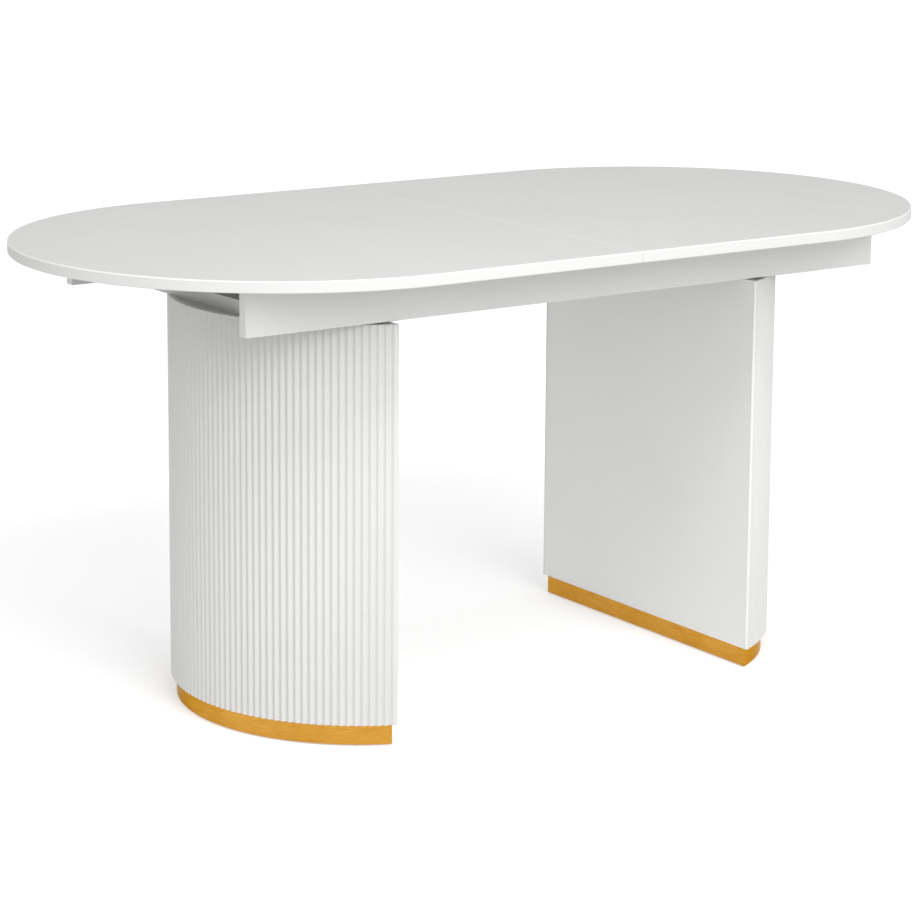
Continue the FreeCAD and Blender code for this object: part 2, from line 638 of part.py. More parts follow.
def reed_arc(centre, radius, middle, start, stop):
    """Part of the round crest of one reed, from start to stop in quarters of its width."""
    quarter = size("ReedPitch") / radius / 4
    groove = radius - size("ReedDepth")
    whole = Part.Arc(polar(centre, groove, middle - 2 * quarter), polar(centre, radius, middle),
                     polar(centre, groove, middle + 2 * quarter))
    first, last = whole.FirstParameter, whole.LastParameter
    return arc_through(*[whole.value(first + (last - first) * (2 + place) / 4)
                         for place in (start, (start + stop) / 2, stop)])


def rounded_end(centre, radius, way):
    """The rounded corner of a skin's end, and the angle where it meets the outer line."""
    face, round_radius = size("LegFace"), size("EndRound")
    angle = math.acos((face + round_radius - centre) / (radius - round_radius))
    pivot = polar(centre, radius - round_radius, way * angle)
    on_face = FreeCAD.Vector(face, pivot.y, 0)
    on_outline = polar(centre, radius, way * angle)
    between = ((on_face - pivot) + (on_outline - pivot)).normalize() * round_radius
    return arc_through(on_face, pivot + between, on_outline), on_face, angle


def reeded_outline(radius, centre):
    """The outer line of a skin between its two rounded ends; the end reeds run out level."""
    pitch = size("ReedPitch") / radius
    half_angle = math.asin(size("LegWidth") / 2 / radius)
    count = int(2 * (half_angle - size("EndLand") / radius) / pitch)
    crest = (count - 1) * pitch / 2
    edges = []
    for way in (-1, 1):
        corner, _, angle = rounded_end(centre, radius, way)
        land = arc_through(*[polar(centre, radius, way * place)
                             for place in (angle, (angle + crest) / 2, crest)])
        edges += [corner, land, reed_arc(centre, radius, way * crest, 0, -2 * way)]
    edges += [reed_arc(centre, radius, (reed - (count - 1) / 2) * pitch, -2, 2)
              for reed in range(1, count - 1)]
    return edges


def fluted_skin(hand, label):
    """The bent, reeded skin round the outside of a leg."""
    radius, centre = leg_numbers()
    inner = radius - size("SkinThick")
    half_inner = math.sqrt(inner ** 2 - (size("LegFace") - centre) ** 2)
    ends = [FreeCAD.Vector(size("LegFace"), way * half_inner, 0) for way in (-1, 1)]
    edges = reeded_outline(radius, centre)
    edges.append(arc_through(ends[1], polar(centre, inner, 0), ends[0]))
    edges += [Part.makeLine(end, rounded_end(centre, radius, way)[1]) for way, end in zip((-1, 1), ends)]
    face = Part.Face(Part.Wire(Part.__sortEdges__(edges)))
    bottom = size("GlideHeight") + size("PlinthHeight")
    top = size("TableHeight") - size("TopThick") - size("ApronHeight") - size("ShadowGap")
    item = doc.addObject("Part::Feature", "Skin")
    item.Shape = face.extrude(FreeCAD.Vector(0, 0, top - bottom))
    turn = 0 if hand > 0 else 180
    item.Placement = FreeCAD.Placement(FreeCAD.Vector(0, 0, bottom),
                                       FreeCAD.Rotation(FreeCAD.Vector(0, 0, 1), turn))
    node(item, label)


def glide_places():
    """Places of a leg's glides on its plinth, from the table's centre."""
    near_face = "(LegFace + 3 * GlideRadius)"
    return ((near_face, "LegWidth / 2 - 4 * GlideRadius"), (near_face, "4 * GlideRadius - LegWidth / 2"),
            ("LegFace + LegDepth - 4 * GlideRadius", "0"))


def leg(hand, name):
    inner_panel(hand, f"{name}_leg_inner_panel")
    fluted_skin(hand, f"{name}_leg_fluted_skin")
    inside = ("PanelThick", "SkinThick")
    cap = half_round(f"{LEG_TOP} - CapThick", "CapThick", inside, hand)
    nut_holes = [rod((x, y, f"{LEG_TOP} - CapThick"), (0, 0, 1), "NutRadius", "CapThick", hand)
                 for x, y in bolt_places()]
    node(cut(cap, nut_holes), f"{name}_leg_top_cap")
    node(half_round(PLINTH_TOP, "CapThick", inside, hand), f"{name}_leg_base_panel")
    for where in ("Lower", "Upper"):
        former = half_round(f"{PLINTH_TOP} + {where}FormerHeight - FormerThick / 2", "FormerThick", inside,
                            hand)
        node(former, f"{name}_leg_{where.lower()}_former")
    plinth = half_round("GlideHeight", "PlinthHeight", ("PlinthInsetFace + BandThick",
                                                       "PlinthInsetCurve + BandThick"), hand)
    stems = [rod((x, y, "GlideHeight"), (0, 0, 1), "GlideStemRadius + FitClear", "GlideSeat", hand)
             for x, y in glide_places()]
    node(cut(plinth, stems), f"{name}_plinth_core")
    node(half_round("GlideHeight", "PlinthHeight", ("PlinthInsetFace", "PlinthInsetCurve"), hand,
                    wall="BandThick"), f"{name}_plinth_band")


def leg_fasteners():
    bolts, nuts, glides = [], [], []
    for hand in (-1, 1):
        for x, y in bolt_places():
            top = f"({BOARD_TOP} - BoltHeadSink + BoltHeadHeight)"
            bolts.append(screw((x, y, top), (0, 0, -1), "BoltHeadRadius", "BoltHeadHeight", "BoltRadius",
                               "LegBoardThick - BoltHeadSink + NutLength", hand))
            nut = rod((x, y, f"{LEG_TOP} - NutLength"), (0, 0, 1), "NutRadius", "NutLength", hand)
            thread = rod((x, y, f"{LEG_TOP} - NutLength"), (0, 0, 1), "BoltRadius + FitClear", "NutLength",
                         hand)
            nuts.append(cut(nut, [thread]))
        for x, y in glide_places():
            disc = rod((x, y, "0"), (0, 0, 1), "GlideRadius", "GlideHeight", hand)
            stem = rod((x, y, "GlideHeight"), (0, 0, 1), "GlideStemRadius", "GlideSeat", hand)
            glides.append(fused([disc, stem]))
    node(grouped(bolts), "leg_bolts")
    node(grouped(nuts), "leg_insert_nuts")
    node(grouped(glides), "glides")


# ---- build and export -----------------------------------------------------------------------

def build():
    fill_sheet()
    half_top(-1, "top_half_left")
    half_top(1, "top_half_right")
    seam_pins()
    leaf()
    apron(-1, "apron_near")
    apron(1, "apron_far")
    frame_boards()
    cam_fittings()
    leaf_pads()
    slides()
    for side, where in ((-1, "near"), (1, "far")):
        lock(side, where)
    for hand, name in ((-1, "left"), (1, "right")):
        lock_screws(hand, name)
        leg(hand, name)
    leg_fasteners()
    doc.recompute()


def check():
    for item in doc.Objects:
        bad = {"Invalid", "Error"} & set(item.State)
        if bad:
            raise RuntimeError(f"{item.Label} ({item.Name}) is {bad}")
    for item in nodes:
        if item.Shape.isNull() or not item.Shape.isValid() or not item.Shape.Solids:
            raise RuntimeError(f"{item.Label} has no valid solid")


def export():
    os.makedirs("parts", exist_ok=True)
    for item in nodes:
        item.Shape.exportStep(f"parts/{item.Label}.step")
    print(len(nodes), "nodes written")


build()
check()
export()
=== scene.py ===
"""Looks of the extendable dining table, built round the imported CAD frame.

Everything is in metres in the frame's own axes: X along the table, Z up, the floor at zero.
The top, the leaf, the aprons, the legs' skins and flat panels and the gold bands are finer
meshes in place of their CAD nodes; the other nodes keep their CAD shape and get a material.
"""

import json
import math

import bmesh
import bpy
from mathutils import Matrix, Vector

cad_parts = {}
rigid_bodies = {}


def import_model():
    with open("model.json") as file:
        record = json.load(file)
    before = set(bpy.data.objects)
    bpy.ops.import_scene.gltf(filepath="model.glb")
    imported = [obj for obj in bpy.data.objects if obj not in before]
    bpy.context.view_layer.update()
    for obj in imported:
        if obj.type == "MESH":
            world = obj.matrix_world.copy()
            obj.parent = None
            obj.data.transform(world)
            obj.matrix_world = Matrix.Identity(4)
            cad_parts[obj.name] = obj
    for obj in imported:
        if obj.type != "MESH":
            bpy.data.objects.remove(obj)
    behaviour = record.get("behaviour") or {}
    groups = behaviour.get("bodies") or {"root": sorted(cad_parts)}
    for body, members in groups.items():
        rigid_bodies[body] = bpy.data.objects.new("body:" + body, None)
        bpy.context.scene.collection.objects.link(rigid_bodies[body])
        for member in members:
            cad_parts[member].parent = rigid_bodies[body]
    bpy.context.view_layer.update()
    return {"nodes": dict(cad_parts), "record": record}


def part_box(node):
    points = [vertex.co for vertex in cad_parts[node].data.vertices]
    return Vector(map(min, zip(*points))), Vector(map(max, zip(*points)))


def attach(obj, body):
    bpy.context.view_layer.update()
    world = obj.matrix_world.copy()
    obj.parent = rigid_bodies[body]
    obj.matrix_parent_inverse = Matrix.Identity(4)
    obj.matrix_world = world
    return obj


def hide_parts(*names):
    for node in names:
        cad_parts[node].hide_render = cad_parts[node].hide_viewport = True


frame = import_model()
nodes = frame["nodes"]
MM = 0.001

# ---- sizes of the finish ------------------------------------------------------------------
RIM_ROUND = 2.0 * MM        # easing of the top's edge
SEAM_ROUND = 0.5 * MM       # easing where the halves and the leaf meet
CORNER_ROUND = 0.22 * MM    # easing of the upright edges there
BOARD_ROUND = 1.1 * MM      # easing of the aprons
PANEL_ROUND = 0.9 * MM
PLINTH_ROUND = 0.35 * MM
EASE_SEGMENTS = 3
CORNER_ANGLE = 25           # degrees; an outline that turns more has an upright edge to ease
SHARP_ANGLE = 40            # degrees; faces that meet at more are not shaded smooth
SKIN_SHARP_ANGLE = 38
TOP_NORMAL = 0.98           # a top board's faces that point up or down more than this are flat
# That eased upper edge takes a whiter lacquer than the top: a painted highlight along the edge.
UPPER_NORMAL = 0.1          # the others that point up more than this are its eased upper edge

END_STEPS = 128             # straight steps round a half circle of the top
BAND_STEPS = 96
PANEL_STEPS = 6             # straight steps along each cut end of a leg's flat panel
REED_PITCH = 11.65 * MM
REED_DEPTH = 3.0 * MM
REED_STEPS = 12
SKIN_THICK = 9 * MM
SKIN_EASING = (             # height from a skin's upper or lower edge, and the set-back there
    (0.0, 0.8 * MM),
    (0.3 * MM, 0.25 * MM),
    (0.8 * MM, 0.0),
)
END_LAND = 2.5 * MM         # smooth strip between a skin's last reed and its rounded end
LAND_STEPS = 4
END_ROUND = 4 * MM
ROUND_STEPS = 8             # straight steps round a skin's rounded end
# The flat face's lacquer is whiter than the skin's of the same paint: painted light on that side
# of the leg.
END_FACE = 1.5 * MM         # a skin's faces this near the leg's flat face are painted like it
BAND_THICK = 1.2 * MM

PIN_ROWS = (-1.5, -0.5, 0.5, 1.5)  # in pitches from the table's middle
PIN_HOLE_RADIUS = 4.1 * MM
PIN_HOLE_DEPTH = 12 * MM
PIN_HOLE_STEPS = 32

# ---- tones of the wood, board and metal, each with its place on a ramp ------------------------
GOLD_TONES = (
    (0.38, (0.43, 0.19, 0.022)),
    (0.62, (0.53, 0.25, 0.035)),
    (0.86, (0.65, 0.36, 0.07)),
)
BOARD_TONES = (
    (0.42, (0.20, 0.125, 0.066)),
    (0.66, (0.34, 0.225, 0.125)),
    (0.86, (0.46, 0.33, 0.20)),
)
BEECH_TONES = (
    (0.45, (0.30, 0.165, 0.075)),
    (0.66, (0.52, 0.335, 0.175)),
    (0.86, (0.66, 0.47, 0.28)),
)
FELT_TONES = (
    (0.35, (0.045, 0.045, 0.05)),
    (0.65, (0.13, 0.13, 0.14)),
)
FLOOR_TONES = (
    (0.3, (0.69, 0.69, 0.69)),
    (0.7, (0.71, 0.71, 0.71)),
)
WARM, COOL = (1.0, 1.0, 0.982), (0.978, 0.98, 0.96)  # the two casts of the white lacquer
WHITE = (1, 1, 1, 1)
NOISE_LOW, NOISE_HIGH = 0.3, 0.7  # the range that nearly all of a noise lies in

# ---- floor, light and camera ------------------------------------------------------------------
FLOOR_SIZE = 60
FLOOR_DROP = 0.2 * MM       # keeps the floor clear of the glides' undersides
FLOOR_GLOW = 0.38
SKY_FRONT, SKY_BACK = 1.02, 0.60  # brightness behind the camera and behind the table
SKY_AWAY = (0.55, 0.83, 0.0)      # from the camera towards the table
SUN_TOWARDS, SUN_STRENGTH, SUN_SPREAD = (0.12, 0.87, -0.46), 1.50, 35
FILL_PLACE, FILL_TARGET = (-0.5, -1.3, 2.2), (-0.2, -0.35, 0.75)
FILL_WIDTH, FILL_HEIGHT, FILL_POWER = 1.6, 0.5, 17
CAMERA_PLACE = (-2.729, -3.824, 1.4546)
CAMERA_YAW, CAMERA_PITCH, CAMERA_ROLL = 0.6258, 0.1746, 0.0094
CAMERA_LENS, CAMERA_SHIFT = 114.02, (-0.0401, -0.18)
CAMERA_SENSOR, CAMERA_REACH = 36, 200


# ---- meshes ---------------------------------------------------------------------------------

def size_of(node):
    low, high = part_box(node)
    return Vector(low), Vector(high)


def finish_mesh(name, bm, sharp_angle=SHARP_ANGLE):
    bmesh.ops.recalc_face_normals(bm, faces=bm.faces)
    mesh = bpy.data.meshes.new(name)
    bm.to_mesh(mesh)
    bm.free()
    mesh.shade_smooth()
    mesh.set_sharp_from_angle(angle=math.radians(sharp_angle))
    piece = bpy.data.objects.new(name, mesh)
    bpy.context.scene.collection.objects.link(piece)
    return piece


def add_bevel(piece, width):
    bevel = piece.modifiers.new("Eased", "BEVEL")
    bevel.limit_method = "WEIGHT"
    bevel.width = width
    bevel.segments = EASE_SEGMENTS
    bevel.harden_normals = True
    bevel.use_clamp_overlap = False


def prism(name, outline, low, high, width, weight=lambda a, b: 1.0, corner_weight=1.0,
          hole=None):
    """A board of that outline between two heights, its edges marked for easing.

    weight(a, b) is the share of the easing along an outline edge, and corner_weight along an
    upright one. hole is an inner outline with as many points, for a band.
    """
    bm = bmesh.new()
    marks = bm.edges.layers.float.new("bevel_weight_edge")
    loops = []
    for ring in (outline, hole) if hole else (outline,):
        loops.append([[bm.verts.new((x, y, z)) for x, y in ring] for z in (low, high)])
    for bottom, top in loops:
        count = len(bottom)
        for i in range(count):
            j = (i + 1) % count
            bm.faces.new((bottom[i], bottom[j], top[j], top[i]))
    if hole:
        for level in (0, 1):
            outer, inner = loops[0][level], loops[1][level]
            for i in range(len(outer)):
                j = (i + 1) % len(outer)
                bm.faces.new((outer[i], outer[j], inner[j], inner[i]))
    else:
        bm.faces.new(loops[0][0])
        bm.faces.new(loops[0][1])
    for bottom, top in loops:
        count = len(bottom)
        for i in range(count):
            j = (i + 1) % count
            for ring in (bottom, top):
                edge = bm.edges.get((ring[i], ring[j]))
                edge[marks] = weight(ring[i].co, ring[j].co)
            before = (bottom[i].co - bottom[i - 1].co).normalized()
            after = (bottom[j].co - bottom[i].co).normalized()
            if before.angle(after, 0) > math.radians(CORNER_ANGLE):
                bm.edges.get((bottom[i], top[i]))[marks] = corner_weight
    piece = finish_mesh(name, bm)
    add_bevel(piece, width)
    return piece


def rectangle(low, high):
    return [(low.x, low.y), (high.x, low.y), (high.x, high.y), (low.x, high.y)]


def paint_edges(piece):
    """Edge lacquer on the sides of a top board; on its eased upper edge a glossier lacquer,
    whiter than the top as a painted highlight.
    """
    piece.data.materials.append(edge_lacquer)
    piece.data.materials.append(painted_highlight_lacquer)
    for face in piece.data.polygons:
        if abs(face.normal.z) > TOP_NORMAL:
            face.material_index = 0
        else:
            face.material_index = 1 if face.normal.z < UPPER_NORMAL else 2


def dress(piece, body, material, node):
    """Material and body of a piece that takes the place of a CAD node, which it hides."""
    piece.data.materials.append(material)
    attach(piece, body)
    if material == top_lacquer:
        paint_edges(piece)
    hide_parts(node)


def polar(centre, radius, angle):
    return centre + radius * math.cos(angle), radius * math.sin(angle)


def arc(centre, radius, start, stop, steps):
    return [polar(centre, radius, start + (stop - start) * i / steps)
            for i in range(steps + 1)]


def turned(outline, hand):
    """The outline for the right-hand end, or turned half a turn for the left."""
    return [(hand * x, hand * y) for x, y in outline]


def curve_of(node):
    """Face, radius and centre of a half-round node whose corners are sharp."""
    low, high = size_of(node)
    face, far = sorted((abs(low.x), abs(high.x)))
    half, depth = (high.y - low.y) / 2, far - face
    radius = (half ** 2 + depth ** 2) / (2 * depth)
    return face, radius, far - radius


def leg_curve(name):
    """Radius over the reed crests, distance of its centre, and the flat face, of a leg."""
    low, high = size_of(f"{name}_leg_fluted_skin")
    face, far = sorted((abs(low.x), abs(high.x)))
    centre = curve_of(f"{name}_plinth_band")[2]
    return far - centre, centre, face


# ---- materials ------------------------------------------------------------------------------

class Shader:
    """A material with a Principled shader and short calls to feed it."""

    def __init__(self, name, **values):
        self.material = bpy.data.materials.new(name)
        self.material.use_nodes = True
        self.tree = self.material.node_tree
        self.bsdf = self.tree.nodes["Principled BSDF"]
        for socket, value in values.items():
            self.bsdf.inputs[socket.replace("_", " ")].default_value = value
        self.place = self.tree.nodes.new("ShaderNodeTexCoord").outputs["Object"]

    def node(self, kind, **inputs):
        made = self.tree.nodes.new(kind)
        for socket, value in inputs.items():
            self.feed(made.inputs[socket.replace("_", " ")], value)
        return made

    def feed(self, socket, value):
        if isinstance(value, bpy.types.NodeSocket):
            self.tree.links.new(value, socket)
        else:
            socket.default_value = value

    def stretched(self, scale):
        """Object coordinates, scaled apart along the axes."""
        mapping = self.node("ShaderNodeMapping", Vector=self.place)
        mapping.inputs["Scale"].default_value = scale
        return mapping.outputs["Vector"]

    def noise(self, scale, detail=3.0, roughness=0.5, stretch=(1, 1, 1)):
        made = self.node("ShaderNodeTexNoise", Vector=self.stretched(stretch), Scale=scale,
                         Detail=detail, Roughness=roughness)
        return made.outputs["Fac"]

    def spread(self, value, low, high):
        """A noise respread between low and high."""
        made = self.node("ShaderNodeMapRange", Value=value, From_Min=NOISE_LOW,
                         From_Max=NOISE_HIGH, To_Min=low, To_Max=high)
        return made.outputs["Result"]

    def ramp(self, value, stops):
        made = self.node("ShaderNodeValToRGB", Fac=value)
        points = made.color_ramp.elements
        while len(points) < len(stops):
            points.new(0.5)
        for point, (place, colour) in zip(points, stops):
            point.position = place
            point.color = (*colour, 1)
        return made.outputs["Color"]

    def sum(self, first, second, share=0.5):
        """The first value plus a share of the second."""
        made = self.node("ShaderNodeMath")
        made.operation = "MULTIPLY_ADD"
        self.feed(made.inputs[0], second)
        self.feed(made.inputs[1], share)
        self.feed(made.inputs[2], first)
        return made.outputs["Value"]

    def bump(self, value, strength, distance):
        made = self.node("ShaderNodeBump", Height=value, Strength=strength, Distance=distance)
        self.feed(self.bsdf.inputs["Normal"], made.outputs["Normal"])

    def colour(self, socket):
        self.feed(self.bsdf.inputs["Base Color"], socket)

    def roughness(self, socket):
        self.feed(self.bsdf.inputs["Roughness"], socket)


def lacquer(name, white, roughness, peel, fine=420.0, gloss=0.42):
    """Sprayed satin lacquer: a faint cloudiness and the fine orange peel of a spray gun.

    white is the paint's brightness, peel the strength of the orange peel and fine its scale.
    """
    made = Shader(name, Specular_IOR_Level=gloss, Coat_Weight=0.28 * gloss, Coat_Roughness=0.22)
    cloud = made.noise(5.0, detail=4.0, roughness=0.55)
    warm, cool = (tuple(white * tone for tone in cast) for cast in (WARM, COOL))
    made.colour(made.ramp(cloud, [(0.3, cool), (0.7, warm)]))
    patches = made.noise(16.0, detail=5.0)
    made.roughness(made.spread(patches, roughness - 0.035, roughness + 0.05))
    grain = made.sum(made.noise(fine, detail=2.0), made.noise(fine / 4, detail=2.0), share=0.7)
    made.bump(grain, peel, distance=0.15 * MM)
    return made.material


def brushed_gold():
    """Brushed gold strip: fine streaks along the band, a little uneven in tone."""
    made = Shader("brushed_gold", Metallic=1.0, Specular_Tint=(0.75, 0.6, 0.4, 1.0))
    streak = made.noise(34.0, detail=6.0, roughness=0.65, stretch=(1.2, 1.2, 46.0))
    cloud = made.noise(9.0)
    made.colour(made.ramp(made.sum(streak, cloud, share=0.35), GOLD_TONES))
    made.roughness(made.spread(streak, low=0.19, high=0.27))
    made.bump(streak, strength=0.12, distance=0.08 * MM)
    return made.material


def fibreboard():
    """Raw medium-density board: brown, with short pale and dark fibres."""
    made = Shader("fibreboard", Specular_IOR_Level=0.2)
    fibre = made.noise(260.0, detail=6.0, roughness=0.7, stretch=(1, 1, 0.6))
    cloud = made.noise(11.0, detail=4.0)
    made.colour(made.ramp(made.sum(fibre, cloud, share=0.3), BOARD_TONES))
    made.roughness(made.spread(fibre, low=0.72, high=0.92))
    made.bump(fibre, strength=0.35, distance=0.2 * MM)
    return made.material


def beech():
    """Planed beech: grain along the batten with short dark flecks."""
    made = Shader("planed_beech", Specular_IOR_Level=0.3)
    grain = made.noise(9.0, detail=8.0, roughness=0.6, stretch=(1.0, 14.0, 14.0))
    fleck = made.noise(95.0, stretch=(0.5, 9.0, 9.0))
    made.colour(made.ramp(made.sum(grain, fleck, share=0.35), BEECH_TONES))
    made.roughness(made.spread(grain, low=0.42, high=0.60))
    made.bump(grain, strength=0.2, distance=0.15 * MM)
    return made.material


def plated_steel(name, tone, low, high, stretch):
    """Rolled and plated steel, drawn along one axis, with faint cloudy plating."""
    made = Shader(name, Metallic=1.0)
    streak = made.noise(60.0, detail=5.0, roughness=0.6, stretch=stretch)
    cloud = made.noise(24.0, detail=4.0)
    dark, light = (tuple(part * level for part in tone) for level in (0.86, 1.0))
    made.colour(made.ramp(made.sum(streak, cloud, share=0.4), [(0.45, dark), (0.85, light)]))
    made.roughness(made.spread(cloud, low, high))
    made.bump(streak, strength=0.08, distance=0.05 * MM)
    return made.material


def felt():
    """Pressed grey felt: matted fibres with a soft sheen."""
    made = Shader("pressed_felt", Sheen_Weight=0.35, Sheen_Roughness=0.6, Specular_IOR_Level=0.1)
    mat = made.noise(700.0, detail=6.0, roughness=0.75)
    made.colour(made.ramp(mat, FELT_TONES))
    made.roughness(made.spread(mat, low=0.85, high=1.0))
    made.bump(mat, strength=0.6, distance=0.3 * MM)
    return made.material


def moulded(name, dark, light, roughness):
    """Moulded plastic with a fine spark-eroded grain."""
    made = Shader(name, Specular_IOR_Level=0.4)
    grain = made.noise(900.0)
    made.colour(made.ramp(made.noise(30.0), [(0.3, dark), (0.7, light)]))
    made.roughness(made.spread(grain, roughness - 0.05, roughness + 0.08))
    made.bump(grain, strength=0.25, distance=0.08 * MM)
    return made.material


# The roughness ranges of the lacquers and the gold keep clear of 0.274: a range that crosses
# it comes out of the render's noise filter with dark specks.
top_lacquer = lacquer("top_lacquer", white=0.56, roughness=0.34, peel=0.02, fine=160.0)
edge_lacquer = lacquer("edge_lacquer", white=0.565, roughness=0.62, peel=0.03, fine=160.0,
                       gloss=0.0)
# Glossier than the top, and painted whiter as well: a painted highlight along the eased upper
# edge.
painted_highlight_lacquer = lacquer("painted_highlight_lacquer", white=0.68, roughness=0.22, peel=0.02,
                           fine=160.0, gloss=0.6)
reed_lacquer = lacquer("reeded_lacquer", white=0.55, roughness=0.38, peel=0.06)
# Whiter than the reeded skin of the same paint: painted light on the legs' flat faces.
panel_lacquer_painted_light = lacquer("panel_lacquer_painted_light", white=0.70, roughness=0.42, peel=0.06)
# A little darker than the top of the same paint: painted shade on the aprons under the top's
# overhang.
apron_lacquer_painted_shade = lacquer("apron_painted_shade", white=0.535, roughness=0.42, peel=0.06)
# Much darker than the other white lacquer: painted shade on the white boards that sit under the
# top.
board_lacquer_painted_shade = lacquer("board_lacquer_painted_shade", white=0.40, roughness=0.5, peel=0.08)
gold = brushed_gold()
raw_board = fibreboard()
batten_wood = beech()
zinc = plated_steel("zinc_steel", (0.66, 0.68, 0.70), low=0.26, high=0.42,
                    stretch=(0.5, 12.0, 12.0))
nickel = plated_steel("nickel_steel", (0.62, 0.60, 0.56), low=0.18, high=0.30,
                      stretch=(6.0, 6.0, 6.0))
pad_felt = felt()
black_plastic = moulded("glide_plastic", dark=(0.012, 0.012, 0.013),
                        light=(0.022, 0.022, 0.023), roughness=0.45)
pale_plastic = moulded("dowel_plastic", dark=(0.60, 0.56, 0.46), light=(0.68, 0.65, 0.55),
                       roughness=0.40)
# The white_lacquer slot takes the darkened board lacquer: painted shade on those CAD nodes.
SLOT_MATERIALS = {
    "white_lacquer": board_lacquer_painted_shade, "raw_board": raw_board, "batten_wood": batten_wood,
    "dowel_plastic": pale_plastic, "zinc_steel": zinc, "lock_steel": nickel,
    "gold_metal": gold, "felt": pad_felt, "glide_plastic": black_plastic,
}
slot_of = {part["node"]: part["material_slot"] for part in frame["record"]["subparts"]}


def paint_cad_nodes():
    """The slot's material on every CAD node."""
    for name, item in nodes.items():
        for place in item.material_slots:
            place.material = SLOT_MATERIALS[slot_of[name]]


# ---- the table's pieces ---------------------------------------------------------------------

def pin_holes(piece, places, axis):
    """Blind holes for alignment pins, bored from each place along axis."""
    bm = bmesh.new()
    turn = Vector((0, 0, 1)).rotation_difference(Vector(axis)).to_matrix().to_4x4()
    for place in places:
        bmesh.ops.create_cone(bm, cap_ends=True, segments=PIN_HOLE_STEPS, radius1=PIN_HOLE_RADIUS,
                              radius2=PIN_HOLE_RADIUS, depth=2 * PIN_HOLE_DEPTH,
                              matrix=Matrix.Translation(place) @ turn)
    mesh = bpy.data.meshes.new(piece.name + "_holes")
    bm.to_mesh(mesh)
    bm.free()
    cutter = bpy.data.objects.new(mesh.name, mesh)
    bpy.context.scene.collection.objects.link(cutter)
    boolean = piece.modifiers.new("Pin holes", "BOOLEAN")
    boolean.object = cutter
    boolean.solver = "EXACT"
    for item in bpy.context.view_layer.objects:
        item.select_set(item == piece)
    bpy.context.view_layer.objects.active = piece
    for modifier in list(piece.modifiers):
        bpy.ops.object.modifier_apply(modifier=modifier.name)
    bpy.data.objects.remove(cutter)


def pin_rows():
    """Places of the alignment pins along the seam, and their height."""
    low, high = size_of("seam_pins")
    pitch = (high.y - low.y - (high.z - low.z)) / (len(PIN_ROWS) - 1)
    return [pitch * row for row in PIN_ROWS], (low.z + high.z) / 2


def top_half(hand, name):
    """Half of the top: straight sides, half-round end, finely eased seam."""
    node = f"top_half_{name}"
    low, high = size_of(node)
    seam = min(abs(low.x), abs(high.x))
    radius = (high.y - low.y) / 2
    centre = max(abs(low.x), abs(high.x)) - radius
    end = arc(centre, radius, -math.pi / 2, math.pi / 2, END_STEPS)
    outline = [(seam, radius), (seam, -radius), *end]
    near_seam = seam + MM

    def weight(a, b):
        return SEAM_ROUND / RIM_ROUND if max(abs(a.x), abs(b.x)) < near_seam else 1.0

    piece = prism(f"{name}_top", turned(outline, hand), low.z, high.z, RIM_ROUND, weight,
                  CORNER_ROUND / RIM_ROUND)
    rows, level = pin_rows()
    pin_holes(piece, [Vector((hand * seam, row, level)) for row in rows], (1, 0, 0))
    dress(piece, f"top_{name}", top_lacquer, node)


def leaf():
    """The stored leaf, finely eased where it meets the halves of the top."""
    low, high = size_of("leaf")

    def weight(a, b):
        return 1.0 if abs(a.x - b.x) < MM else SEAM_ROUND / RIM_ROUND

    piece = prism("insert_leaf", rectangle(low, high), low.z, high.z, RIM_ROUND, weight,
                  CORNER_ROUND / RIM_ROUND)
    rows, _ = pin_rows()
    level = (low.z + high.z) / 2
    pin_holes(piece, [Vector((row, low.y, level)) for row in rows], (0, 1, 0))
    dress(piece, "leaf", top_lacquer, "leaf")


def reed_profile(radius, centre, face):
    """The outer line of the right-hand skin: rounded ends, level lands and the reeds between."""
    half = math.acos((face - centre) / radius)
    pitch = REED_PITCH / radius
    count = int(2 * (half - END_LAND / radius) / pitch)
    crest = (count - 1) * pitch / 2
    end = math.acos((face + END_ROUND - centre) / (radius - END_ROUND))
    pivot = polar(centre, radius - END_ROUND, end)
    rounding = [(pivot[0] + END_ROUND * math.cos(turn), pivot[1] + END_ROUND * math.sin(turn))
                for turn in (end + (math.pi - end) * i / ROUND_STEPS for i in range(ROUND_STEPS))]
    land = [polar(centre, radius, crest + (end - crest) * i / LAND_STEPS)
            for i in range(1, LAND_STEPS)]
    upper = [(face, pivot[1]), *reversed(rounding), *reversed(land)]
    points = [(x, -y) for x, y in upper]
    for reed in range(count):
        middle = -crest + reed * pitch
        first = REED_STEPS // 2 if reed == 0 else 0
        last = REED_STEPS // 2 + 1 if reed == count - 1 else REED_STEPS
        for step in range(first, last):
            share = step / REED_STEPS - 0.5
            drop = REED_DEPTH * math.sin(math.pi * share) ** 2
            points.append(polar(centre, radius - drop, middle + share * pitch))
    return points + list(reversed(upper))


def inset_line(points, depth, centre):
    """The line moved in by depth: along its own normals at the ends, to the centre elsewhere."""
    end_points = ROUND_STEPS + LAND_STEPS
    moved = []
    for i, (x, y) in enumerate(points):
        before, after = points[max(i - 1, 0)], points[min(i + 1, len(points) - 1)]
        along = Vector((after[0] - before[0], after[1] - before[1])).normalized()
        outward = Vector((along.y, -along.x))
        if end_points < i < len(points) - 1 - end_points:
            outward = Vector((x - centre, y)).normalized()
        moved.append((x - depth * outward.x, y - depth * outward.y))
    return moved


